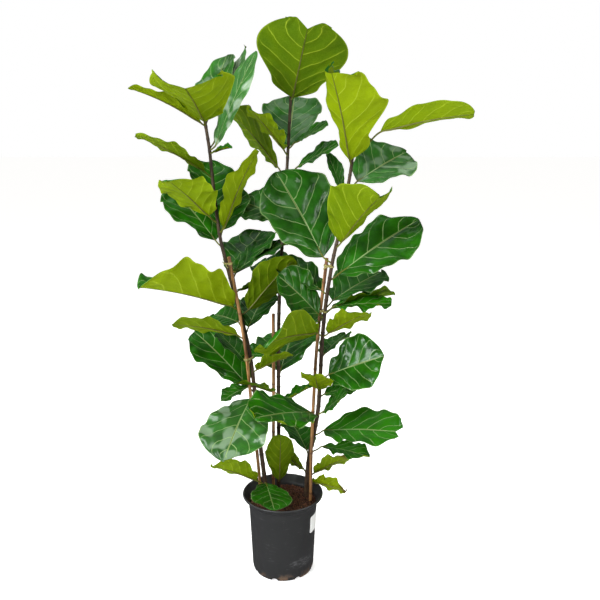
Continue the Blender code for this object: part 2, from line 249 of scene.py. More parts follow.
def make_pot_finish():
    material, tree, shader, place = new_finish("black_pot_plastic", coat=0.15, coat_roughness=0.30)
    patches, grain, _ = mottle(tree, place, 14.0, 900.0, 0.20)
    x, y, z = split(tree, place)
    streaks = stretch(tree, place, 1.0, 1.0, 6.0)
    rubs = ramp(speckle(tree, streaks, 26.0, 5.0, 0.70), 0.60, 0.70)
    # Painted highlight: the top few millimetres of the rim are painted lighter, as if light caught them; this
    # shares the scuff colour with the real rubs and smear.
    lip_highlight = ramp(z, POT_HEIGHT - 0.004, POT_HEIGHT - 0.001)
    scuffs_and_lip_highlight = (rubs * 0.8 + lip_highlight * 0.5) * (patches * 0.7 + 0.3)
    near_floor = ramp(z, 0.034, 0.008)
    muddy = near_floor * ramp(speckle(tree, place, 34.0, 4.0, 0.6), 0.50, 0.62)
    smear_x, smear_z = (x - 0.062) * 22.0, (z - 0.062) * 48.0
    smear = ramp(smear_x * smear_x + smear_z * smear_z, 1.0, 0.2)
    smear = smear * ramp(speckle(tree, streaks, 60.0, 4.0), 0.48, 0.58)
    scuffs_and_lip_highlight = scuffs_and_lip_highlight.maths("MAXIMUM", smear * ramp(y, 0.0, -0.02))
    base = tint(tree, scuffs_and_lip_highlight, POT_BLACK, POT_SCUFF)
    dress(tree, shader, tint(tree, muddy * 0.75, base, POT_DIRT),
          grain * 0.14 + patches * 0.10 + muddy * 0.30 + 0.30,
          grain * 0.35 + scuffs_and_lip_highlight * 0.25 + muddy * 1.5, 0.0003)
    return material


def lathe(name, profile, steps):
    """A closed shell turned about the Z axis from (radius, height) pairs that start and end on it."""
    shape = bmesh.new()
    rings = []
    for radius, height in profile:
        if radius < 1e-6:
            rings.append([shape.verts.new((0.0, 0.0, height))])
            continue
        turns = [2 * math.pi * i / steps for i in range(steps)]
        rings.append([shape.verts.new((radius * math.cos(t), radius * math.sin(t), height)) for t in turns])
    for upper, lower in zip(rings, rings[1:]):
        for i in range(steps):
            j = (i + 1) % steps
            corners = [ring[k % len(ring)] for ring, k in ((upper, i), (lower, i), (lower, j), (upper, j))]
            shape.faces.new(list(dict.fromkeys(corners)))
    return settle(shape, name)


def settle(shape, name, crisp_angle=180):
    """Makes a bmesh a smooth mesh facing outwards. Edges sharper than the angle stay crisp."""
    bmesh.ops.recalc_face_normals(shape, faces=shape.faces)
    mesh = bpy.data.meshes.new(name)
    shape.to_mesh(mesh)
    shape.free()
    mesh.shade_smooth()
    if crisp_angle < 180:
        mesh.set_sharp_from_angle(angle=math.radians(crisp_angle))
    return mesh


def show(name, mesh, finish=None):
    item = bpy.data.objects.new(name, mesh)
    bpy.context.scene.collection.objects.link(item)
    if finish:
        mesh.materials.clear()
        mesh.materials.append(finish)
    return item


def plain_mesh(item, name):
    """The object's finished mesh as a new object, with nothing live on it."""
    bpy.context.view_layer.update()
    settled = item.evaluated_get(bpy.context.evaluated_depsgraph_get())
    mesh = bpy.data.meshes.new_from_object(settled)
    bpy.data.objects.remove(item, do_unlink=True)
    mesh.name = name
    return show(name, mesh)


def fit_piece(piece, slot, *nodes):
    """Hides the solids that the piece stands in for and lets it ride on the plant's one body."""
    if nodes:
        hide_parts(*nodes)
    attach(piece, "root")
    return piece


def make_pot():
    top, wall = POT_HEIGHT, POT_WALL
    profile = [
        (0.0, 0.0), (0.030, 0.0), (0.033, FLOOR_RISE), (0.087, FLOOR_RISE), (0.090, 0.0),
        (FOOT_RADIUS - 0.0070, 0.0), (FOOT_RADIUS - 0.0040, 0.0014), (FOOT_RADIUS - 0.0022, 0.0060),
        (FOOT_RADIUS, FOOT_TOP), (BODY_RADIUS, COLLAR_BOTTOM), (BODY_RADIUS + 0.0010, COLLAR_BOTTOM + 0.0006),
        (COLLAR_RADIUS, COLLAR_BOTTOM + 0.0025), (COLLAR_RADIUS, top - 0.0320),
        (COLLAR_RADIUS + 0.0004, top - 0.0295), (COLLAR_RADIUS + 0.0014, top - 0.0270),
        (COLLAR_RADIUS + 0.0035, top - 0.0238), (COLLAR_RADIUS + 0.0070, top - 0.0200),
        (RIM_RADIUS - 0.0028, top - 0.0092), (RIM_RADIUS - 0.0010, top - 0.0076),
        (RIM_RADIUS - 0.0002, top - 0.0060), (RIM_RADIUS, top - 0.0042), (RIM_RADIUS - 0.0003, top - 0.0022),
        (RIM_RADIUS - 0.0012, top - 0.0008), (RIM_RADIUS - 0.0028, top), (RIM_RADIUS - 0.0044, top - 0.0006),
        (RIM_RADIUS - 0.0056, top - 0.0024),
        (COLLAR_RADIUS + 0.0050, top - 0.0195), (COLLAR_RADIUS - wall + 0.0020, top - 0.0240),
        (COLLAR_RADIUS - wall, top - 0.0300), (COLLAR_RADIUS - wall, COLLAR_BOTTOM + 0.0020),
        (BODY_RADIUS - wall, COLLAR_BOTTOM), (FOOT_RADIUS - wall, FOOT_TOP),
        (FOOT_RADIUS - 0.0070, FLOOR_RISE + wall), (0.0, FLOOR_RISE + wall),
    ]
    shell = show("pot_shell", lathe("pot_shell", profile, 144))
    cutters = []
    for slot in range(DRAIN_SLOTS):
        azimuth = math.radians(FIRST_SLOT_AZIMUTH + slot * 360 / DRAIN_SLOTS)
        bpy.ops.mesh.primitive_cylinder_add(
            vertices=40, radius=DRAIN_SLOT_RADIUS, depth=0.030,
            rotation=(math.pi / 2, 0.0, azimuth + math.pi / 2),
            location=(FOOT_RADIUS * math.cos(azimuth), FOOT_RADIUS * math.sin(azimuth), -0.001),
        )
        cutters.append(bpy.context.object)
        opening = shell.modifiers.new("Slot", "BOOLEAN")
        opening.operation = "DIFFERENCE"
        opening.solver = "EXACT"
        opening.object = cutters[-1]
    pot = plain_mesh(shell, "nursery_pot")
    for cutter in cutters:
        bpy.data.objects.remove(cutter, do_unlink=True)
    pot.data.materials.clear()
    pot.data.materials.append(make_pot_finish())
    pot.data.shade_smooth()
    pot.data.set_sharp_from_angle(angle=math.radians(38))
    return pot


fit_piece(make_pot(), "black_pot_plastic", "pot")


# ---------------------------------------------------------------------------------------------
# The label: a blank white vinyl sticker, pressed on the pot's side below the collar. Nothing is
# printed on it.

LABEL_BOTTOM = 0.155
LABEL_HEIGHT = 0.060
LABEL_AZIMUTHS = (-35, 3)
LABEL_LIFT = 0.0004
LABEL_THICKNESS = 0.0006
LABEL_CORNER = 0.004
LABEL_WHITE = (0.800, 0.800, 0.790)
LABEL_GREY = (0.620, 0.600, 0.560)


def pot_wall_radius(height):
    share = (height - FOOT_TOP) / (COLLAR_BOTTOM - FOOT_TOP)
    return FOOT_RADIUS + (BODY_RADIUS - FOOT_RADIUS) * share


def make_label():
    columns, rows = 28, 14
    start, end = (math.radians(a) for a in LABEL_AZIMUTHS)
    half_width = (end - start) / 2 * BODY_RADIUS
    half_height = LABEL_HEIGHT / 2
    layers = []
    shape = bmesh.new()
    for lift in (LABEL_LIFT, LABEL_LIFT + LABEL_THICKNESS):
        layer = []
        for row in range(rows + 1):
            v = (2 * row / rows - 1) * half_height
            inset = max(0.0, LABEL_CORNER - (half_height - abs(v)))
            shrink = LABEL_CORNER - math.sqrt(max(0.0, LABEL_CORNER ** 2 - inset ** 2))
            line = []
            for column in range(columns + 1):
                u = (2 * column / columns - 1) * (half_width - shrink)
                turn = (start + end) / 2 + u / BODY_RADIUS
                height = LABEL_BOTTOM + half_height + v
                radius = pot_wall_radius(height) + lift
                line.append(shape.verts.new((radius * math.cos(turn), radius * math.sin(turn), height)))
            layer.append(line)
        layers.append(layer)
    for layer in layers:
        for near, far in zip(layer, layer[1:]):
            for i in range(columns):
                shape.faces.new((near[i], near[i + 1], far[i + 1], far[i]))
    rims = [
        layer[0][:-1] + [line[-1] for line in layer[:-1]]
        + layer[-1][:0:-1] + [line[0] for line in layer[:0:-1]]
        for layer in layers
    ]
    for i in range(len(rims[0])):
        j = (i + 1) % len(rims[0])
        shape.faces.new((rims[0][i], rims[0][j], rims[1][j], rims[1][i]))
    material, tree, shader, place = new_finish("blank_white_label", coat=0.20)
    patches, grain, _ = mottle(tree, place, 30.0, 1400.0)
    dress(tree, shader, tint(tree, patches * 0.12, LABEL_WHITE, LABEL_GREY),
          grain * 0.10 + 0.38, grain, 0.00008)
    return show("blank_label", settle(shape, "blank_label", 40), material)


fit_piece(make_label(), "blank_white_label", "label")


# ---------------------------------------------------------------------------------------------
# The potting soil: a root ball of dark peat, heaped a little in the middle, with shredded bark and
# white specks of perlite worked into its surface.

SOIL_TOP = 0.252
SOIL_EDGE = 0.246
SOIL_BOTTOM = 0.0079
SOIL_GAP = 0.0004
BARK_REACH = 0.104
SOIL_ROUGHNESS = 0.0035
SOIL_BROWN = (0.030, 0.010, 0.006)
SOIL_LIGHT = (0.120, 0.045, 0.026)
BARK_BROWN = (0.085, 0.028, 0.014)
BARK_LIGHT = (0.260, 0.110, 0.055)


def set_inputs(modifier, **values):
    """Sets a Geometry Nodes modifier's inputs, named with underscores for spaces."""
    named = {item.name: item.identifier for item in modifier.node_group.interface.items_tree
             if item.item_type == "SOCKET" and item.in_out == "INPUT"}
    for name, value in values.items():
        modifier[named[name.replace("_", " ")]] = value


def run_nodes(name, source, tree, **values):
    """The mesh that a Geometry Nodes tree makes of a source object."""
    modifier = source.modifiers.new("Grow", "NODES")
    modifier.node_group = tree
    set_inputs(modifier, **values)
    return plain_mesh(source, name)


def real_and_finished(tree, shape, finish):
    """Makes a node's instances real and gives them their material."""
    real = lay(tree, "GeometryNodeRealizeInstances", {"Geometry": shape})
    return lay(tree, "GeometryNodeSetMaterial", {"Geometry": real, "Material": finish})


def build_scatter():
    """Scatters crumbs over a surface, each turned and stretched its own way."""
    inputs = {"Surface": "Geometry", "Per Square Metre": 1000.0, "Shortest": 0.003, "Longest": 0.010,
              "Flatness": 0.4, "Seed": 1, "Finish": "Material"}
    tree, wires, leave = new_group("scattered_crumbs", "Geometry", inputs, {"Crumbs": "Geometry"})
    _, _, upward = split(tree, lay(tree, "GeometryNodeInputNormal").outputs["Normal"])
    facing_up = lay(tree, "FunctionNodeCompare", {"A": upward, "B": -0.2}, operation="GREATER_THAN")
    points = lay(tree, "GeometryNodeDistributePointsOnFaces", {
        "Mesh": wires["Surface"], "Selection": facing_up, "Density": wires["Per Square Metre"],
        "Seed": wires["Seed"]}, distribute_method="RANDOM")
    crumb = lay(tree, "GeometryNodeMeshIcoSphere", {"Radius": 0.5, "Subdivisions": 1})
    turn = lay(tree, "FunctionNodeRandomValue", {"Seed": wires["Seed"]}, data_type="FLOAT_VECTOR")
    turn.inputs[0].default_value = (-0.5, -0.5, 0.0)
    turn.inputs[1].default_value = (0.5, 0.5, 2 * math.pi)
    size = lay(tree, "FunctionNodeRandomValue", {"Seed": wires["Seed"] + 7.0}, data_type="FLOAT")
    join(tree, size.inputs[2], wires["Shortest"])
    join(tree, size.inputs[3], wires["Longest"])
    length = Wire(tree, size.outputs[1])
    scale = vector(tree, length, length * 0.55, length * wires["Flatness"])
    swivel = lay(tree, "FunctionNodeEulerToRotation", {"Euler": turn})
    aim = lay(tree, "FunctionNodeRotateRotation", {
        "Rotation": points.outputs["Rotation"], "Rotate By": swivel}, rotation_space="LOCAL")
    crumbs = lay(tree, "GeometryNodeInstanceOnPoints", {
        "Points": points, "Instance": crumb, "Rotation": aim, "Scale": scale})
    join(tree, leave.inputs["Crumbs"], real_and_finished(tree, crumbs, wires["Finish"]))
    return tree


SCATTER = build_scatter()


def make_soil_finish(name, dark, light, patch_scale):
    material, tree, shader, place = new_finish(name, roughness=0.9)
    patches, grain, flecks = mottle(tree, place, patch_scale, 420.0)
    dress(tree, shader, tint(tree, patches * 0.6 + flecks * 0.4, dark, light),
          0.95 - patches * 0.20, grain + patches, 0.0012)
    return material


def soil_height(x, y):
    """The top of the soil, with its lumps and the dips round the stems."""
    reach = min(1.0, math.hypot(x, y) / 0.110)
    heap = SOIL_TOP - (SOIL_TOP - SOIL_EDGE) * reach ** 2 - SOIL_ROUGHNESS * 0.6
    lumps = noise.noise((x * 55, y * 55, 0.0)) * 0.5 + noise.noise((x * 140, y * 140, 3.0)) * 0.3
    return heap + lumps * SOIL_ROUGHNESS


def make_soil():
    edge = BODY_RADIUS - POT_WALL - SOIL_GAP
    radii = [edge * i / 26 for i in range(27)]
    profile = [(radius, SOIL_TOP) for radius in radii]
    profile += [(edge, COLLAR_BOTTOM), (FOOT_RADIUS - POT_WALL - SOIL_GAP, FOOT_TOP)]
    profile += [(FOOT_RADIUS - 0.0075, SOIL_BOTTOM), (0.0, SOIL_BOTTOM)]
    mesh = lathe("potting_soil", profile, 96)
    for vertex in mesh.vertices:
        if vertex.co.z > SOIL_TOP - 0.0001:
            vertex.co.z = soil_height(vertex.co.x, vertex.co.y)
    soil = show("potting_soil", mesh, make_soil_finish("dark_potting_soil", SOIL_BROWN, SOIL_LIGHT, 120.0))
    bark = make_soil_finish("shredded_bark", BARK_BROWN, BARK_LIGHT, 260.0)
    bed = [(0.0, SOIL_TOP), (BARK_REACH, SOIL_TOP), (0.0, SOIL_TOP - 0.001)]
    source = show("bark_bed", lathe("bark_bed", bed, 64))
    chips = run_nodes("bark_chips", source, SCATTER, Per_Square_Metre=26000.0, Shortest=0.003, Longest=0.013,
                      Flatness=0.30, Seed=11, Finish=bark)
    for vertex in chips.data.vertices:
        vertex.co.z += soil_height(vertex.co.x, vertex.co.y) - SOIL_TOP
    return soil, chips


potting_soil, bark_chips = make_soil()
fit_piece(potting_soil, "dark_potting_soil", "soil")
fit_piece(bark_chips, "dark_potting_soil")


# ---------------------------------------------------------------------------------------------
# The stems: brown woody shoots that taper upwards, ringed by the scars of fallen leaves and dotted
# with pale pores. Each ends in a pointed leaf bud.

STEM_RADIUS = {"left": (0.0078, 0.0048), "middle": (0.0072, 0.0046), "right": (0.0080, 0.0050)}
STEM_ROUTES = {
    "left": [
        (-0.052, 0.012, 0.120), (-0.057, 0.012, 0.235), (-0.062, 0.010, 0.320),
        (-0.075, 0.008, 0.450), (-0.087, 0.004, 0.600), (-0.106, 0.000, 0.775),
        (-0.127, 0.000, 0.875), (-0.150, 0.000, 0.965), (-0.173, 0.000, 1.063),
        (-0.188, 0.000, 1.130), (-0.200, 0.000, 1.230), (-0.209, 0.000, 1.331),
        (-0.215, 0.000, 1.406), (-0.226, -0.004, 1.492),
    ],
    "middle": [
        (-0.018, 0.058, 0.120), (-0.017, 0.060, 0.235), (-0.015, 0.062, 0.380),
        (-0.014, 0.070, 0.640), (-0.012, 0.080, 0.850), (0.000, 0.090, 1.100),
        (0.014, 0.098, 1.300), (0.022, 0.100, 1.433), (0.030, 0.100, 1.570),
    ],
    "right": [
        (0.070, 0.024, 0.120), (0.078, 0.022, 0.235), (0.088, 0.016, 0.391),
        (0.101, 0.011, 0.463), (0.117, -0.003, 0.569), (0.122, -0.008, 0.656),
        (0.129, -0.010, 0.808), (0.137, -0.010, 0.908), (0.152, -0.010, 1.021),
        (0.161, -0.010, 1.075), (0.175, -0.010, 1.140), (0.195, -0.012, 1.250),
        (0.209, -0.014, 1.332), (0.216, -0.020, 1.392),
    ],
}
SCAR_SPACING = 0.036
BARK_DARK = (0.030, 0.013, 0.006)
BARK_PALE = (0.130, 0.078, 0.040)
PORE_PALE = (0.240, 0.170, 0.100)
SCAR_BROWN = (0.020, 0.008, 0.007)
BUD_LENGTH = 0.042


def build_rod():
    """A round rod grown along a curve, with raised joints at even spaces."""
    inputs = {"Route": "Geometry", "Ring Spacing": 0.005, "Sides": 16, "Joint Spacing": 0.05,
              "Joint Swell": 0.0, "Joint Length": 0.004, "Finish": "Material"}
    tree, wires, leave = new_group("jointed_rod", "Geometry", inputs, {"Rod": "Geometry"})
    evened = lay(tree, "GeometryNodeResampleCurve", {
        "Curve": wires["Route"], "Length": wires["Ring Spacing"]}, mode="LENGTH")
    along = Wire(tree, lay(tree, "GeometryNodeSplineParameter").outputs["Length"])
    space = wires["Joint Spacing"]
    from_joint = abs((along + space * 0.5).maths("MODULO", space) - space * 0.5)
    bump = ramp(from_joint, wires["Joint Length"], 0.0)
    thickness = Wire(tree, lay(tree, "GeometryNodeInputRadius").outputs[0])
    swollen = lay(tree, "GeometryNodeSetCurveRadius", {
        "Curve": evened, "Radius": thickness * (bump * wires["Joint Swell"] + 1.0)})
    marked = lay(tree, "GeometryNodeStoreNamedAttribute", {"Geometry": swollen, "Name": "joint"},
                 data_type="FLOAT", domain="POINT")
    join(tree, marked.inputs["Value"], bump)
    ring = lay(tree, "GeometryNodeCurvePrimitiveCircle", {"Resolution": wires["Sides"], "Radius": 1.0})
    radius = lay(tree, "GeometryNodeInputRadius")
    swept = lay(tree, "GeometryNodeCurveToMesh", {
        "Curve": marked, "Profile Curve": ring, "Scale": radius, "Fill Caps": True})
    smooth = lay(tree, "GeometryNodeSetShadeSmooth", {"Geometry": swept})
    join(tree, leave.inputs["Rod"], real_and_finished(tree, smooth, wires["Finish"]))
    return tree


ROD = build_rod()


def grow_rod(name, route, radii, finish, sides=16, ring=0.005, spacing=0.05, swell=0.0, joint=0.004):
    curve = bpy.data.curves.new(name, "CURVE")
    curve.dimensions = "3D"
    spline = curve.splines.new("BEZIER")
    spline.bezier_points.add(len(route) - 1)
    for point, place, radius in zip(spline.bezier_points, route, radii):
        point.co = place
        point.radius = radius
        point.handle_left_type = "AUTO"
        point.handle_right_type = "AUTO"
    rod = run_nodes(name, show(name + "_route", curve), ROD, Ring_Spacing=ring, Sides=sides,
                    Joint_Spacing=spacing, Joint_Swell=swell, Joint_Length=joint, Finish=finish)
    welded = bmesh.new()
    welded.from_mesh(rod.data)
    bmesh.ops.remove_doubles(welded, verts=welded.verts, dist=0.00001)
    welded.to_mesh(rod.data)
    welded.free()
    rod.data.set_sharp_from_angle(angle=math.radians(50))
    return rod


def place_on(route, height):
    """The point where a route passes a height, and the way it points there."""
    for low, high in zip(route, route[1:]):
        if height <= high[2] or high is route[-1]:
            share = (height - low[2]) / (high[2] - low[2])
            low, high = Vector(low), Vector(high)
            return low.lerp(high, share), (high - low).normalized()


def stem_radius(stem, height):
    route = STEM_ROUTES[stem]
    share = (height - route[0][2]) / (route[-1][2] - route[0][2])
    thick, thin = STEM_RADIUS[stem]
    return thick + (thin - thick) * share


def make_bark_finish():
    material, tree, shader, place = new_finish("brown_stem_bark", coat=0.12, coat_roughness=0.35)
    stretched = stretch(tree, place, 1.0, 1.0, 0.16)
    patches, grain, flecks = mottle(tree, stretched, 130.0, 700.0, 0.18)
    young, _, _ = mottle(tree, place, 9.0, 300.0, 0.12)
    scar = read_mark(tree, "joint")
    wood = tint(tree, patches * 0.45 + young * 0.20, BARK_DARK, BARK_PALE)
    dotted = tint(tree, flecks * 0.6, wood, PORE_PALE)
    dress(tree, shader, tint(tree, scar * 0.55, dotted, SCAR_BROWN),
          grain * 0.25 + 0.42, grain * 0.6 + patches * 0.5 + flecks * 0.5, 0.0006)
    return material


def make_stems():
    bark = make_bark_finish()
    for stem, route in STEM_ROUTES.items():
        radii = [stem_radius(stem, place[2]) for place in route]
        rod = grow_rod(f"{stem}_woody_stem", route, radii, bark, 20, 0.004, SCAR_SPACING, 0.16, 0.005)
        fit_piece(rod, "brown_stem_bark", f"{stem}_stem")
        top, up = place_on(route, route[-1][2])
        shares = (0.0, 0.15, 0.35, 0.6, 0.85, 1.0)
        bulge = (0.9, 1.25, 1.30, 0.85, 0.40, 0.10)
        lean = Vector((0.12, -0.10, 0.0)) * BUD_LENGTH
        bud_route = [top + up * (BUD_LENGTH * share - 0.002) + lean * share ** 2 for share in shares]
        radii = [stem_radius(stem, top.z) * share for share in bulge]
        bud = grow_rod(f"{stem}_leaf_bud", bud_route, radii, bark, 16, 0.002)
        fit_piece(bud, "brown_stem_bark")


make_stems()


# ---------------------------------------------------------------------------------------------
# The canes: three straight lengths of split-proof bamboo pushed into the soil beside the stems.
# Each has a raised, darker joint where a leaf sheath once sat.

CANE_RADIUS = 0.0054
CANE_ROUTES = {
    "left": [
        (-0.068, 0.016, 0.130), (-0.081, 0.013, 0.350), (-0.102, 0.001, 0.600),
        (-0.118, -0.016, 0.800), (-0.162, -0.017, 1.082),
    ],
    "middle": [
        (-0.036, 0.046, 0.130), (-0.033, 0.047, 0.350), (-0.030, 0.053, 0.640), (-0.029, 0.059, 0.880),
    ],
    "right": [
        (0.093, -0.008, 0.130), (0.094, -0.009, 0.350), (0.096, -0.008, 0.450),
        (0.101, -0.002, 0.570), (0.114, 0.003, 0.810), (0.142, 0.000, 1.075),
    ],
}
BAMBOO_JOINTS = {"left": 0.155, "middle": 0.170, "right": 0.145}
BAMBOO_TAN = (0.110, 0.034, 0.010)
BAMBOO_PALE = (0.560, 0.280, 0.090)
BAMBOO_JOINT = (0.150, 0.065, 0.028)
BAMBOO_STAIN = (0.330, 0.150, 0.060)


def make_cane_finish():
    material, tree, shader, place = new_finish("tan_bamboo", coat=0.60, coat_roughness=0.20)
    fibres = stretch(tree, place, 1.0, 1.0, 0.02)
    streaks, grain, _ = mottle(tree, fibres, 320.0, 1500.0, 0.20)
    stain, _, flecks = mottle(tree, place, 22.0, 260.0, 0.14)
    joint = read_mark(tree, "joint")
    dark_fibres = ramp(speckle(tree, fibres, 120.0, 2.0), 0.46, 0.58)
    wood = tint(tree, streaks * 0.5 + 0.5 - dark_fibres * 0.7, BAMBOO_TAN, BAMBOO_PALE)
    stained = tint(tree, stain * 0.45 + flecks * 0.2, wood, BAMBOO_STAIN)
    dress(tree, shader, tint(tree, ramp(joint, 0.15, 0.75) * 0.8, stained, BAMBOO_JOINT),
          grain * 0.20 + stain * 0.10 + 0.30, streaks + grain * 0.5, 0.0002)
    return material


def make_canes():
    bamboo = make_cane_finish()
    for stem, route in CANE_ROUTES.items():
        rod = grow_rod(f"{stem}_bamboo_cane", route, [CANE_RADIUS] * len(route), bamboo,
                       20, 0.003, BAMBOO_JOINTS[stem], 0.16, 0.006)
        fit_piece(rod, "tan_bamboo", f"{stem}_cane")


make_canes()


# ---------------------------------------------------------------------------------------------
# The ties: soft stretchy tape, wound twice round a stem and its cane and knotted in front, with the
# two cut ends left standing.

TIES = {"left_tie": ("left", 1.060, True), "right_tie": ("right", 1.050, True),
        "left_low_tie": ("left", 0.748, False), "right_low_tie": ("right", 0.905, False)}
TAPE_WIDTH = 0.0050
TAPE_THICKNESS = 0.0009
TAIL_LENGTH = 0.016
TAIL_BOW = 0.004
KNOT_SIZE = (0.0048, 0.0026, 0.0036)
TAPE_YELLOW = (0.420, 0.360, 0.110)
TAPE_DULL = (0.160, 0.150, 0.070)


def sweep_tape(shape, path, ups, width, thickness):
    """Adds a closed flat band that follows a path, standing along the given up directions."""
    rings = []
    for i, (place, up) in enumerate(zip(path, ups)):
        ahead = (path[min(i + 1, len(path) - 1)] - path[max(i - 1, 0)]).normalized()
        out = ahead.cross(up).normalized()
        ring = []
        for a, b in ((1, 0.5), (1, -0.5), (0.6, -1), (-0.6, -1), (-1, -0.5), (-1, 0.5), (-0.6, 1), (0.6, 1)):
            ring.append(shape.verts.new(place + up * (a * width / 2) + out * (b * thickness / 2)))
        rings.append(ring)
    for near, far in zip(rings, rings[1:]):
        for i in range(8):
            j = (i + 1) % 8
            shape.faces.new((near[i], near[j], far[j], far[i]))
    shape.faces.new(list(reversed(rings[0])))
    shape.faces.new(rings[-1])


def make_ties():
    material, tree, shader, place = new_finish("olive_tie_tape")
    patches, grain, _ = mottle(tree, place, 160.0, 1800.0)
    dress(tree, shader, tint(tree, patches * 0.6, TAPE_YELLOW, TAPE_DULL),
          grain * 0.20 + 0.50, grain + patches, 0.0003)
    for name, (stem, height, has_node) in TIES.items():
        on_stem, up = place_on(STEM_ROUTES[stem], height)
        on_cane, cane_up = place_on(CANE_ROUTES[stem], height)
        up = (up + cane_up).normalized()
        across = on_cane - on_stem
        across -= up * across.dot(up)
        reach = across.length / 2
        along = across.normalized()
        outward = up.cross(along)
        if outward.y > 0:
            outward = -outward
        middle = (on_stem + on_cane) / 2
        path, ups = [], []
        for i in range(81):
            turn = 4 * math.pi * i / 80
            end = max(-1.0, min(1.0, 3.0 * math.cos(turn)))
            thick = stem_radius(stem, height) + 0.0014 + 0.0004 * math.sin(2.5 * turn)
            spot = middle + along * (end * reach + thick * math.cos(turn))
            spot += outward * (thick * math.sin(turn))
            path.append(spot + up * (0.0022 * math.sin(turn / 4) - 0.0010))
            ups.append((up + along * 0.10 * math.sin(turn)).normalized())
        shape = bmesh.new()
        sweep_tape(shape, path, ups, TAPE_WIDTH, TAPE_THICKNESS)
        knot_place = middle + outward * (stem_radius(stem, height) + 0.0030)
        knot = bmesh.ops.create_icosphere(shape, subdivisions=3, radius=1.0)["verts"]
        for vertex in knot:
            ripple = 1.0 + 0.18 * noise.noise(vertex.co * 2.3)
            wide, deep, tall = (size * share for size, share in zip(KNOT_SIZE, vertex.co))
            vertex.co = knot_place + (along * wide + up * tall + outward * deep) * ripple
        for sideways, rise in ((-1.0, 0.55), (0.8, -0.75)):
            lean = (along * sideways + up * rise).normalized()
            flat = lean.cross(outward).normalized()
            shares = np.linspace(0, 1, 9)
            bow = [outward * (TAIL_BOW * math.sin(2.4 * t)) for t in shares]
            tail = [knot_place + lean * (TAIL_LENGTH * t) + away for t, away in zip(shares, bow)]
            twist = [(flat + outward * 0.3 * t).normalized() for t in shares]
            sweep_tape(shape, tail, twist, TAPE_WIDTH * 0.8, TAPE_THICKNESS)
        tape = show(name + "_tape", settle(shape, name + "_tape", 50), material)
        fit_piece(tape, "olive_tie_tape", *([name] if has_node else []))


make_ties()
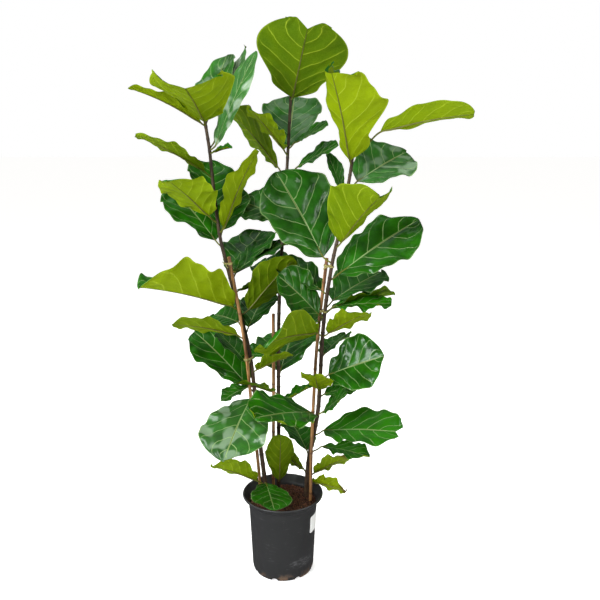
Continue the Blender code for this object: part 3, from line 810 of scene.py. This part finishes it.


# ---------------------------------------------------------------------------------------------
# The leaves: leathery blades shaped like a fiddle, each on a short round stalk that runs on under
# the blade as its midrib. The top is glossy and dark, the underside paler, and the blade puffs up
# between its side veins. Young leaves are yellower than old ones. Some tops are painted towards a
# pale grey-green in patches, a painted reflection of bright sky.

LEAVES = {
    "left": [
        # height, azimuth, rise, roll, bend, length, width, fold, stalk, youth, wave
        (0.300, 210, 35, 40, 10, 0.19, 0.12, 20, 0.030, 0.6, 0.5),
        (0.305, 285, -8, -10, 10, 0.13, 0.14, 5, 0.015, 0.35, 0.3),
        (0.615, 252, -18, 0, 20, 0.25, 0.22, 5, 0.035, 0.3, 0.5),
        (0.630, 147, 40, -10, 15, 0.27, 0.20, 10, 0.030, 0.2, 0.6),
        (0.710, 131, 30, 15, 10, 0.17, 0.12, 10, 0.020, 0.5, 0.4),
        (0.810, 200, 22, 38, 15, 0.22, 0.11, 10, 0.030, 0.55, 0.6),
        (0.825, 74, 30, -10, 15, 0.18, 0.15, 10, 0.030, 0.1, 0.5),
        (0.845, 130, 5, -30, 20, 0.16, 0.16, 10, 0.030, 0.3, 0.4),
        (0.890, 12, 52, -60, 15, 0.22, 0.16, 10, 0.025, 0.4, 0.4),
        (0.910, 210, 25, 22, 15, 0.32, 0.28, 30, 0.020, 0.9, 0.5),
        (1.000, 68, 38, -10, 15, 0.22, 0.20, 10, 0.030, 0.0, 0.5),
        (1.140, 82, 55, 20, 15, 0.19, 0.15, 10, 0.030, 0.2, 0.5),
        (1.110, 143, 45, -10, 15, 0.25, 0.20, 10, 0.030, 0.3, 0.6),
        (1.155, 308, 62, 18, 15, 0.29, 0.12, 10, 0.030, 0.8, 0.8),
        (1.185, 225, 45, 15, 15, 0.19, 0.20, 10, 0.040, 0.8, 0.5),
        (1.325, 220, 33, 5, 15, 0.25, 0.11, 10, 0.030, 0.5, 0.6),
        (1.410, 62, 65, -40, 10, 0.33, 0.13, 0, 0.030, 0.5, 0.6),
        (1.478, 265, 28, -5, 15, 0.27, 0.26, 15, 0.020, 0.75, 0.7),
        (1.480, 80, 55, -30, 15, 0.26, 0.16, 10, 0.030, 0.3, 0.4),
    ],
    "middle": [
        (0.285, 280, 82, 0, 10, 0.19, 0.10, 10, 0.020, 0.4, 0.6),
        (0.650, 80, 25, -10, 15, 0.26, 0.24, 10, 0.030, 0.1, 0.5),
        (1.185, 168, 25, -40, 15, 0.14, 0.15, 10, 0.010, 0.1, 0.5),
        (1.315, 130, 42, 65, 15, 0.28, 0.17, 10, 0.050, 0.3, 0.5),
        (1.320, 325, 30, 35, 10, 0.16, 0.10, 10, 0.050, 0.3, 0.5),
        (1.385, 245, 35, -15, 10, 0.24, 0.10, 10, 0.030, 0.6, 1.0),
        (1.400, 85, 45, 0, 15, 0.26, 0.20, 10, 0.020, 0.4, 0.4),
        (1.405, 313, 25, 35, 10, 0.15, 0.09, 10, 0.030, 0.2, 0.4),
        (1.555, 297, 63, -25, 10, 0.25, 0.28, 10, 0.010, 0.28, 0.15),
    ],
    "right": [
        (0.300, 335, 5, -55, 15, 0.13, 0.10, 10, 0.010, 0.9, 0.8),
        (0.325, 345, 38, -40, 15, 0.15, 0.11, 10, 0.020, 0.6, 0.8),
        (0.330, 130, 10, 70, 10, 0.12, 0.09, 10, 0.020, 0.5, 0.5),
        (0.395, 110, 25, 20, 15, 0.15, 0.14, 10, 0.020, 0.3, 0.4),
        (0.415, 330, 8, 5, 15, 0.17, 0.10, 10, 0.050, 0.5, 1.0),
        (0.477, 333, 16, 15, 15, 0.27, 0.20, 10, 0.040, 0.6, 0.8),
        (0.550, 230, 20, -15, 15, 0.26, 0.22, 10, 0.035, 0.35, 0.6),
        (0.557, 310, 45, 40, 10, 0.13, 0.10, 10, 0.030, 0.3, 0.5),
        (0.640, 260, 47, -8, 5, 0.11, 0.11, 10, 0.015, 0.8, 0.5),
        (0.680, 332, 29, 58, 15, 0.20, 0.19, 10, 0.030, 0.3, 0.6),
        (0.825, 221, 12, 50, 25, 0.26, 0.20, 10, 0.020, 0.45, 0.8),
        (0.825, 322, 38, -25, 15, 0.18, 0.12, 10, 0.020, 0.7, 0.8),
        (0.885, 208, 50, -55, 15, 0.19, 0.18, 10, 0.020, 0.3, 0.4),
        (0.905, 350, 12, 12, 15, 0.18, 0.13, 10, 0.030, 0.7, 1.0),
        (0.918, 37, 25, 5, 15, 0.22, 0.20, 10, 0.030, 0.1, 0.5),
        (1.007, 9, 38, 35, 15, 0.31, 0.25, 10, 0.030, 0.3, 0.6),
        (1.060, 176, 65, -50, 15, 0.30, 0.28, 10, 0.030, 0.25, 0.4),
        (1.110, 300, 45, -12, 15, 0.26, 0.24, 38, 0.030, 0.55, 0.4),
        (1.287, 29, 30, 30, 15, 0.21, 0.21, 10, 0.040, 0.4, 0.4),
        (1.365, 250, 63, -10, 15, 0.29, 0.24, 30, 0.020, 1.0, 0.6),
        (1.390, 329, 16, -35, 15, 0.29, 0.11, 30, 0.110, 0.75, 1.0),
    ],
}
EXTRA_LEAVES = {
    "left": [
        (0.650, 200, -16, -5, 15, 0.10, 0.09, 15, 0.012, 0.15, 0.6),
        (0.960, 40, 12, -25, 20, 0.15, 0.13, 12, 0.012, 0.05, 0.6),
        (1.395, 330, 20, 20, 20, 0.07, 0.04, 25, 0.008, 0.90, 0.8),
        (1.478, 213, 33, 20, 22, 0.25, 0.05, 35, 0.010, 0.90, 1.2),
        (0.700, 330, 35, -20, 15, 0.16, 0.10, 15, 0.015, 0.45, 0.6),
        (1.020, 30, 30, 0, 15, 0.20, 0.17, 12, 0.015, 0.05, 0.5),
        (1.225, 100, 50, 15, 15, 0.19, 0.18, 12, 0.015, 0.10, 0.5),
        (1.405, 335, 66, 65, 10, 0.30, 0.09, 0, 0.020, 0.60, 0.4),
    ],
    "middle": [
        (0.560, 20, 30, -10, 15, 0.12, 0.08, 20, 0.010, 0.50, 0.8),
        (0.720, 185, 15, -20, 20, 0.12, 0.08, 20, 0.012, 0.75, 0.8),
        (0.980, 110, 20, -25, 15, 0.17, 0.14, 12, 0.012, 0.05, 0.6),
        (0.600, 215, 30, 10, 15, 0.17, 0.12, 12, 0.015, 0.15, 0.6),
        (0.790, 330, 35, 20, 15, 0.17, 0.13, 12, 0.012, 0.10, 0.5),
    ],
    "right": [
        (0.750, 60, 20, -20, 15, 0.15, 0.12, 12, 0.012, 0.10, 0.6),
        (1.270, 150, 72, -20, 15, 0.13, 0.06, 20, 0.012, 0.20, 0.5),
        (0.960, 150, 30, -10, 15, 0.20, 0.16, 12, 0.015, 0.05, 0.5),
        (0.900, 20, 15, -20, 15, 0.22, 0.18, 12, 0.020, 0.10, 0.5),
        (0.620, 350, 25, 20, 15, 0.13, 0.10, 12, 0.012, 0.20, 0.5),
    ],
}
STALK_RADIUS = 0.0024
STALK_GAP = 0.0005
STALK_RISE = 40
STALK_LIFT = 30
BLADE_ROWS = 72
BLADE_COLUMNS = 33
BLADE_THICKNESS = 0.0007
WAVE_SHARE = 0.075
PUFF_SHARE = 0.022
PHASE_STEP = 2.4
SCORCH_START = 0.80
SCORCH_BLEND = 0.10
VEIN_PAIRS = 5.4
VEIN_SWEEP = 0.34
TOP_DARK = (0.003, 0.027, 0.002)
TOP_BRIGHT = (0.032, 0.250, 0.002)
TOP_VEIN = (0.340, 0.500, 0.190)
UNDER_DARK = (0.022, 0.105, 0.001)
UNDER_BRIGHT = (0.280, 0.380, 0.001)
UNDER_VEIN = (0.430, 0.540, 0.030)
UNDER_RIB = (0.070, 0.075, 0.008)
STALK_GREEN = (0.150, 0.165, 0.010)
STALK_BROWN = (0.090, 0.060, 0.015)
TOP_GLOW = (0.050, 0.260, 0.002)
UNDER_GLOW = (0.360, 0.460, 0.001)
# Pale grey-green of the painted sheen: a painted reflection of bright sky on some leaf tops.
PAINTED_SHEEN_PALE = (0.360, 0.480, 0.330)
SCORCH_BROWN = (0.085, 0.035, 0.012)
SCORCH_PALE = (0.110, 0.050, 0.018)
LEAF_LINES = ("Midrib", "Veins", "Net", "Margin", "Relief")


def vein_phase(along, across, side):
    """Counts side veins along the blade: whole numbers fall on a vein."""
    return (along - (abs(across) ** 1.15) * VEIN_SWEEP) * VEIN_PAIRS + side * 0.5


def build_blade():
    """A fiddle-shaped blade, flat on the ground: stalk end at the origin, tip along +Y, top up."""
    inputs = {"Start": "Geometry", "Length": 0.25, "Width": 0.2, "Fold": 0.2, "Bend": 0.2, "Wave": 0.006,
              "Waves": 2.5, "Phase": 0.0, "Puff": 0.0015, "Notch": 0.0, "Tip Width": 0.0, "Ragged": 0.05,
              "Left Curl": 0.0, "Right Curl": 0.0, "Thickness": BLADE_THICKNESS,
              "Top Finish": "Material", "Under Finish": "Material"}
    tree, wires, leave = new_group("fiddle_blade", "Geometry", inputs, {"Blade": "Geometry"})
    grid = lay(tree, "GeometryNodeMeshGrid", {
        "Size X": 2.0, "Size Y": 1.0, "Vertices X": BLADE_COLUMNS, "Vertices Y": BLADE_ROWS})
    flat_x, flat_y, _ = split(tree, lay(tree, "GeometryNodeInputPosition"))
    across = flat_x * (abs(flat_x) ** 0.35)
    along = 1.0 - (0.5 - flat_y) ** 1.5
    charted = lay(tree, "GeometryNodeStoreNamedAttribute", {"Geometry": grid, "Name": "UVMap"},
                  data_type="FLOAT2", domain="CORNER")
    join(tree, charted.inputs["Value"], vector(tree, across * 0.5 + 0.5, along))

    body = (along ** 1.35 * math.pi).maths("SINE").maths("MAXIMUM", 0.0) ** 0.60
    body = body.maths("MAXIMUM", wires["Tip Width"] * ramp(along, 0.5, 0.6))
    from_lobes = (along - 0.10) * (1 / 0.08)
    lobes = (from_lobes * from_lobes * -1.0).maths("EXPONENT") * 0.16
    right_side = across.maths("GREATER_THAN", 0.0)
    own_phase = wires["Phase"] + right_side * 1.9
    jags = ((along * 3.1 + own_phase).maths("PINGPONG", 1.0) - 0.5) * 1.4
    jags = (jags + (along * 15.0 + own_phase * 3.0).maths("SINE") * 0.5) * ramp(along, 0.0, 0.3)
    half_width = wires["Width"] * 0.5 * (body + lobes) * (jags * wires["Ragged"] + 1.0)
    cleft = (1.0 - abs(across) * 1.8).maths("MAXIMUM", 0.0) * wires["Notch"]
    shoulder = wires["Tip Width"] * wires["Tip Width"] * 0.27
    rounding = abs(across) ** 2.5 * shoulder * ramp(along, 1.0 - shoulder, 1.0)
    dip = cleft * ramp(along, 0.55, 1.0) + rounding
    bend = wires["Bend"]
    turn = bend * (along - dip)
    forward = turn.maths("SINE") / bend * wires["Length"]
    drop = (turn.maths("COSINE") - 1.0) / bend * wires["Length"]
    edgeward = abs(across)
    lift = half_width * wires["Fold"].maths("SINE") * edgeward ** 1.5
    ripple = (along * wires["Waves"] * (2 * math.pi) + wires["Phase"] + across * 1.9).maths("SINE")
    flutter = (along * wires["Waves"] * 14.5 + wires["Phase"] * 2.0 - across * 2.6).maths("SINE") * 0.45
    wave = (ripple + flutter) * wires["Wave"] * edgeward ** 2.2 * ramp(along, 0.0, 0.25)
    curl = right_side * (wires["Right Curl"] - wires["Left Curl"]) + wires["Left Curl"]
    curl = curl * ramp(along, 0.0, 0.35)
    rolled = ramp(edgeward, 0.45, 1.0)
    between = abs((vein_phase(along, across, right_side) * math.pi).maths("SINE")) ** 0.7
    hump = (edgeward * (1.0 - edgeward ** 3.0) * 2.0).maths("MINIMUM", 1.0)
    puff = (between - 0.45) * wires["Puff"] * hump * ramp(along, 0.02, 0.15) * ramp(along, 1.0, 0.88)
    groove = ramp(edgeward, 0.12, 0.0) * wires["Puff"] * -0.35 * ramp(along, 1.0, 0.7)
    drift = vector(tree, across + wires["Phase"], along * 1.3, wires["Phase"])
    dents = (speckle(tree, drift, 3.2, 1.0) - 0.5) * wires["Puff"] * 3.0 * hump
    height = lift + wave + puff + dents + groove + half_width * curl * rolled * 0.6
    x = half_width * wires["Fold"].maths("COSINE") * across * (1.0 - rolled * abs(curl) * 0.40)
    ends = 1.0 - abs(along * 2.0 - 1.0) ** 14.0
    half_thickness = wires["Thickness"] * 0.5 * (1.0 - edgeward ** 7.0) * ends

    skins = []
    for layer, sign in (("top", 1.0), ("under", -1.0)):
        rise = height + half_thickness * sign
        spot = vector(tree, x, forward + turn.maths("SINE") * rise, drop + turn.maths("COSINE") * rise)
        source = charted
        if layer == "under":
            source = lay(tree, "GeometryNodeFlipFaces", {"Mesh": source})
        flagged = lay(tree, "GeometryNodeStoreNamedAttribute", {"Geometry": source, "Name": "underside"},
                      data_type="FLOAT", domain="FACE")
        flagged.inputs["Value"].default_value = 0.0 if layer == "top" else 1.0
        skins.append(lay(tree, "GeometryNodeSetPosition", {"Geometry": flagged, "Position": spot}))
    both = lay(tree, "GeometryNodeJoinGeometry")
    for skin in skins:
        join(tree, both.inputs[0], skin)
    sealed = lay(tree, "GeometryNodeMergeByDistance", {"Geometry": both, "Distance": 0.00002})
    smooth = lay(tree, "GeometryNodeSetShadeSmooth", {"Geometry": sealed})
    topped = real_and_finished(tree, smooth, wires["Top Finish"])
    named = lay(tree, "GeometryNodeInputNamedAttribute", {"Name": "underside"}, data_type="FLOAT")
    below = Wire(tree, named.outputs[0]).maths("GREATER_THAN", 0.5)
    finished = lay(tree, "GeometryNodeSetMaterial", {
        "Geometry": topped, "Selection": below, "Material": wires["Under Finish"]})
    join(tree, leave.inputs["Blade"], finished)
    return tree


BLADE = build_blade()


def build_leaf_pattern():
    """Where the midrib, side veins, net of fine veins and margin run on a blade."""
    inputs = {"Chart": "Vector", "Vein Width": 0.05}
    tree, wires, leave = new_group("leaf_pattern", "Shader", inputs, dict.fromkeys(LEAF_LINES, "Float"))
    chart_x, along, _ = split(tree, wires["Chart"])
    across = chart_x * 2.0 - 1.0
    edgeward = abs(across)
    wobble = speckle(tree, wires["Chart"], 5.0, 2.0) * 0.36 - 0.18
    phase = vein_phase(along, across, across.maths("GREATER_THAN", 0.0)) + wobble
    from_vein = abs(phase.maths("FRACT") - 0.5) * -1.0 + 0.5
    fade = ramp(edgeward, 1.0, 0.80)
    vein = ramp(from_vein, wires["Vein Width"] * 1.6, wires["Vein Width"] * 0.35)
    vein = vein * fade * ramp(along, 0.0, 0.05)
    rib = ramp(edgeward, 0.034, 0.012)
    mesh_chart = stretch(tree, wires["Chart"], 34.0, 40.0, 1.0)
    cells = lay(tree, "ShaderNodeTexVoronoi", {"Vector": mesh_chart, "Scale": 1.0},
                feature="DISTANCE_TO_EDGE")
    net = ramp(Wire(tree, cells.outputs["Distance"]), 0.12, 0.02)
    margin = ramp(edgeward, 0.955, 0.985)
    for label, line in zip(LEAF_LINES, (rib, vein, net, margin, vein * 0.7 + rib + net * 0.22)):
        join(tree, leave.inputs[label], line)
    return tree


LEAF_PATTERN = build_leaf_pattern()


def read_leaf_pattern(tree, width):
    node = lay(tree, "ShaderNodeGroup", node_tree=LEAF_PATTERN)
    join(tree, node.inputs["Chart"], lay(tree, "ShaderNodeUVMap", uv_map="UVMap"))
    join(tree, node.inputs["Vein Width"], width)
    wires = {name: Wire(tree, node.outputs[name]) for name in LEAF_LINES}
    return wires | {name: read_mark(tree, name) for name in ("youth", "scorch", "painted_sheen")}


def let_light_through(tree, shader, colour, share):
    """Mixes in light that comes through the blade from behind."""
    glow = lay(tree, "ShaderNodeBsdfTranslucent", {"Color": colour})
    mix = tree.nodes.new("ShaderNodeMixShader")
    for slot, value in zip(mix.inputs, (share, shader, glow)):
        join(tree, slot, value)
    join(tree, tree.nodes["Material Output"].inputs["Surface"], mix)


def make_leaf_finishes():
    top, tree, shader, place = new_finish("glossy_leaf_top", coat=0.42, coat_roughness=0.13)
    shader.inputs["Specular IOR Level"].default_value = 0.22
    pattern = read_leaf_pattern(tree, 0.026)
    patches, grain, _ = mottle(tree, place, 16.0, 900.0, 0.22)
    green = tint(tree, pattern["youth"] * 0.45 + patches * 0.45, TOP_DARK, TOP_BRIGHT)
    # Painted sheen: the top is mixed towards a pale grey-green in swirling patches, as strongly as the leaf's
    # sheen mark says, a painted reflection of bright sky.
    painted_sheen_swirls = ramp(speckle(tree, place, 20.0, 1.0, 0.4), 0.50, 0.60) * 0.90 + 0.10
    green_with_painted_sheen = tint(tree, pattern["painted_sheen"] * painted_sheen_swirls, green, PAINTED_SHEEN_PALE)
    netted = tint(tree, pattern["Net"] * 0.07, green_with_painted_sheen, TOP_BRIGHT)
    lines = (pattern["Veins"] * 0.75).maths("MAXIMUM", pattern["Midrib"] * 0.95)
    veined = tint(tree, lines.maths("MAXIMUM", pattern["Margin"] * 0.55), netted, TOP_VEIN)
    coloured = tint(tree, pattern["scorch"], veined, SCORCH_BROWN)
    dress(tree, shader, coloured,
          grain * 0.14 + patches * 0.08 + pattern["scorch"] * 0.3 + 0.22,
          pattern["Relief"] * -1.0 + grain * 0.25, 0.0006)
    let_light_through(tree, shader, TOP_GLOW, 0.10)

    under, tree, shader, place = new_finish("matt_leaf_underside")
    shader.inputs["Specular IOR Level"].default_value = 0.08
    pattern = read_leaf_pattern(tree, 0.034)
    patches, grain, _ = mottle(tree, place, 16.0, 900.0, 0.22)
    green = tint(tree, pattern["youth"] * 0.85 + patches * 0.15, UNDER_DARK, UNDER_BRIGHT)
    netted = tint(tree, pattern["Net"] * 0.12, green, UNDER_VEIN)
    lines = (pattern["Veins"] * 0.75).maths("MAXIMUM", pattern["Margin"] * 0.45)
    veined = tint(tree, lines, netted, UNDER_VEIN)
    ribbed = tint(tree, pattern["Midrib"] * 0.8, veined, UNDER_RIB)
    coloured = tint(tree, pattern["scorch"], ribbed, SCORCH_PALE)
    dress(tree, shader, coloured, grain * 0.15 + 0.50, pattern["Relief"] + grain * 0.3, 0.0008)
    let_light_through(tree, shader, UNDER_GLOW, 0.30)

    stalk, tree, shader, place = new_finish("green_leaf_stalk", coat=0.10, coat_roughness=0.3)
    patches, grain, flecks = mottle(tree, place, 60.0, 900.0)
    wood = tint(tree, patches * 0.5 + flecks * 0.3, STALK_GREEN, STALK_BROWN)
    dress(tree, shader, wood, grain * 0.20 + 0.35, grain, 0.0002)
    return top, under, stalk


LEAF_TOP, LEAF_UNDER, LEAF_STALK = make_leaf_finishes()


def direction(azimuth, rise):
    turn, lift = math.radians(azimuth), math.radians(rise)
    return Vector((math.cos(turn) * math.cos(lift), math.sin(turn) * math.cos(lift), math.sin(lift)))


def blade_line(s, length, bend):
    """A point on the blade's bent middle line, and the top's direction there, flat on the ground."""
    turn = bend * s
    place = Vector((0.0, math.sin(turn) / bend * length, (math.cos(turn) - 1) / bend * length))
    return place, Vector((0.0, math.sin(turn), math.cos(turn)))


def make_leaf(name, start, row, number, scorch=0.0, painted_sheen=0.0, notch=0.0, tip=0.0, waves=2.5,
              curls=(0.0, 0.0), ragged=0.05):
    """One leaf: its stalk from the stem at start, and its blade."""
    _, azimuth, rise, roll, bend, length, width, fold, stalk_length, youth, wave = row
    forward = direction(azimuth, rise)
    across = direction(azimuth + 90, 0)
    above = forward.cross(across)
    tilt = math.radians(roll)
    side = across * math.cos(tilt) + above * math.sin(tilt)
    top = above * math.cos(tilt) - across * math.sin(tilt)
    lift = min(STALK_RISE, rise + STALK_LIFT)
    base = start + direction(azimuth, lift) * stalk_length
    seat = Matrix((
        (-side.x, forward.x, top.x, base.x), (-side.y, forward.y, top.y, base.y),
        (-side.z, forward.z, top.z, base.z), (0, 0, 0, 1),
    ))
    bend = math.radians(bend)
    source = show(name + "_start", bpy.data.meshes.new(name + "_start"))
    blade = run_nodes(
        name, source, BLADE, Length=length, Width=width, Fold=math.radians(fold), Bend=bend,
        Wave=wave * width * WAVE_SHARE, Waves=waves, Phase=PHASE_STEP * number, Puff=width * PUFF_SHARE,
        Notch=notch, Tip_Width=tip, Ragged=ragged, Left_Curl=curls[0], Right_Curl=curls[1],
        Top_Finish=LEAF_TOP, Under_Finish=LEAF_UNDER)
    blade.data.transform(seat)
    rib = [start - direction(azimuth, 0) * 0.004, start.lerp(base, 0.5)]
    radii = [STALK_RADIUS * 1.15, STALK_RADIUS]
    for share in (0.0, 0.12, 0.3, 0.5, 0.7, 0.88, 1.0):
        s = share * (0.95 - notch * 1.1)
        place, normal = blade_line(max(s, 0.001), length, bend)
        radius = STALK_RADIUS * (1 - share) ** 0.8 + 0.0003
        below = radius * 0.95 * min(1.0, s / 0.1) + width * 0.0095 * min(1.0, s / 0.2) * (1 - s)
        rib.append(seat @ (place - normal * below))
        radii.append(radius)
    stalk = grow_rod(name + "_stalk", rib, radii, LEAF_STALK, 10, 0.007)
    mesh = blade.data
    finishes = [LEAF_TOP, LEAF_UNDER, LEAF_STALK]
    slots = [finishes.index(finish) if finish in finishes else 0 for finish in mesh.materials]
    worn = [slots[face.material_index] for face in mesh.polygons] + [2] * len(stalk.data.polygons)
    joined = bmesh.new()
    joined.from_mesh(mesh)
    joined.from_mesh(stalk.data)
    joined.to_mesh(mesh)
    joined.free()
    bpy.data.objects.remove(stalk, do_unlink=True)
    mesh.materials.clear()
    for finish in finishes:
        mesh.materials.append(finish)
    mesh.polygons.foreach_set("material_index", worn)
    mesh.shade_smooth()
    mesh.set_sharp_from_angle(angle=math.radians(70))
    count = len(mesh.vertices)
    places = np.empty(count * 3, np.float32)
    mesh.vertices.foreach_get("co", places)
    share = (places.reshape(-1, 3) - np.array(base)) @ np.array(forward) / length
    burn = np.clip((share - SCORCH_START) / SCORCH_BLEND, 0.0, 1.0) * scorch
    # The sheen mark sets how much painted reflection the top gets.
    for label, value in (("youth", youth), ("painted_sheen", painted_sheen), ("scorch", burn)):
        mark = mesh.attributes.new(label, "FLOAT", "POINT")
        mark.data.foreach_set("value", np.broadcast_to(value, count).astype(np.float32))
    return blade


# Some leaves get a painted sheen: a pale painted reflection on their tops, and on left_leaf_17 painted light
# on a blade that faces away from the lamps.
LEAF_QUIRKS = {
    "left_leaf_03": {"painted_sheen": 0.55},
    "left_leaf_10": {"ragged": 0.07},
    "left_leaf_17": {"painted_sheen": 1.00},
    "left_leaf_18": {"notch": 0.15, "tip": 0.85, "ragged": 0.02, "waves": 1.0, "curls": (0.3, 0.15)},
    "left_leaf_19": {"painted_sheen": 0.30},
    "left_small_leaf_08": {"painted_sheen": 0.90},
    "middle_leaf_03": {"painted_sheen": 0.15},
    "middle_leaf_04": {"painted_sheen": 0.40},
    "middle_leaf_07": {"painted_sheen": 0.25},
    "middle_leaf_09": {"notch": 0.12, "tip": 0.50, "ragged": 0.01, "waves": 1.5},
    "right_leaf_01": {"scorch": 0.9},
    "right_leaf_02": {"scorch": 0.8},
    "right_leaf_06": {"notch": 0.08, "tip": 0.45, "waves": 1.8},
    "right_leaf_11": {"waves": 1.2},
    "right_leaf_16": {"curls": (-0.4, 0.0)},
    "right_leaf_17": {"painted_sheen": 0.10},
    "right_leaf_19": {"painted_sheen": 0.45},
    "right_leaf_20": {"ragged": 0.10, "curls": (0.0, 1.0), "tip": 0.55},
    "right_leaf_21": {"ragged": 0.12, "waves": 1.4},
}


def make_leaves():
    """The leaves that the solids stand for, then the lesser ones that only fill the plant out."""
    number = 0
    for table, solid in ((LEAVES, True), (EXTRA_LEAVES, False)):
        for stem, rows in table.items():
            for index, row in enumerate(rows, start=1):
                number += 1
                node = f"{stem}_leaf_{index:02d}"
                on_stem, stem_up = place_on(STEM_ROUTES[stem], row[0])
                outward = direction(row[1], 0)
                outward = (outward - stem_up * outward.dot(stem_up)).normalized()
                start = on_stem + outward * (stem_radius(stem, row[0]) + STALK_GAP)
                name = node + "_blade" if solid else f"{stem}_small_leaf_{index:02d}"
                leaf = make_leaf(name, start, row, number, **LEAF_QUIRKS.get(node if solid else name, {}))
                fit_piece(leaf, "glossy_green_leaf", *([node] if solid else []))


make_leaves()


# ---------------------------------------------------------------------------------------------
# The studio: a pale floor in plain white surroundings, an overhead lamp, four soft boxes of which
# the leaves mirror three, and the camera.

CAMERA_PLACE = (0.058, -2.276, 1.491)
CAMERA_TURN = (76.4, 0.0, 0.0)
CAMERA_LENS = 44.4
SENSOR_WIDTH = 36.0
LIT_POINT = (0.0, 0.0, 0.9)
FLOOR_REACH = 30
FLOOR_PALE = (0.90, 0.90, 0.90)
FLOOR_GLOW = 0.62
ROOM_LIGHT = 0.09
LAMPS = (
    # name, kind, place, size in metres or degrees, power, colour, whether glossy leaves mirror it
    ("overhead_lamp", "SUN", (-0.9, -0.5, 3.4), 25, 1.2, (1.0, 0.98, 0.94), False),
    ("sky_box", "AREA", (-0.7, 0.5, 3.9), 2.4, 13.0, (0.93, 0.97, 1.0), True),
    ("front_left_box", "AREA", (-2.3, -2.6, 2.7), 2.0, 170.0, (0.94, 0.98, 1.0), True),
    ("right_box", "AREA", (2.4, -1.4, 1.9), 1.2, 30.0, (1.0, 1.0, 1.0), True),
    ("back_box", "AREA", (-0.6, 2.6, 2.9), 2.0, 85.0, (1.0, 1.0, 0.94), False),
)


def make_studio():
    floor_mesh = bpy.data.meshes.new("studio_floor")
    far = FLOOR_REACH
    corners = [(-far, -far, 0), (far, -far, 0), (far, far, 0), (-far, far, 0)]
    floor_mesh.from_pydata(corners, [], [(0, 1, 2, 3)])
    material, _, shader, _ = new_finish("pale_floor", roughness=0.9)
    shader.inputs["Base Color"].default_value = (*FLOOR_PALE, 1.0)
    shader.inputs["Emission Color"].default_value = (1.0, 1.0, 1.0, 1.0)
    shader.inputs["Emission Strength"].default_value = FLOOR_GLOW
    floor = show("studio_floor", floor_mesh, material)
    floor.visible_glossy = False
    world = bpy.data.worlds.new("studio")
    world.use_nodes = True
    tree = world.node_tree
    backdrop = tree.nodes["Background"]
    backdrop.inputs["Color"].default_value = (1.0, 1.0, 1.0, 1.0)
    seen = Wire(tree, lay(tree, "ShaderNodeLightPath").outputs["Is Camera Ray"])
    join(tree, backdrop.inputs["Strength"], seen * (1.0 - ROOM_LIGHT) + ROOM_LIGHT)
    bpy.context.scene.world = world
    for name, kind, place, size, power, colour, mirrored in LAMPS:
        lamp = bpy.data.lights.new(name, kind)
        lamp.energy = power
        lamp.color = colour
        if kind == "SUN":
            lamp.angle = math.radians(size)
        else:
            lamp.size = size
        item = bpy.data.objects.new(name, lamp)
        item.location = place
        aim = Vector(LIT_POINT) - Vector(place)
        item.rotation_euler = aim.to_track_quat("-Z", "Y").to_euler()
        item.visible_camera = False
        item.visible_glossy = mirrored
        bpy.context.scene.collection.objects.link(item)
    camera = bpy.data.cameras.new("camera")
    camera.lens = CAMERA_LENS
    camera.sensor_width = SENSOR_WIDTH
    item = bpy.data.objects.new("camera", camera)
    item.location = CAMERA_PLACE
    item.rotation_euler = [math.radians(angle) for angle in CAMERA_TURN]
    bpy.context.scene.collection.objects.link(item)
    bpy.context.scene.camera = item
    bpy.context.scene.view_settings.view_transform = "Standard"


make_studio()
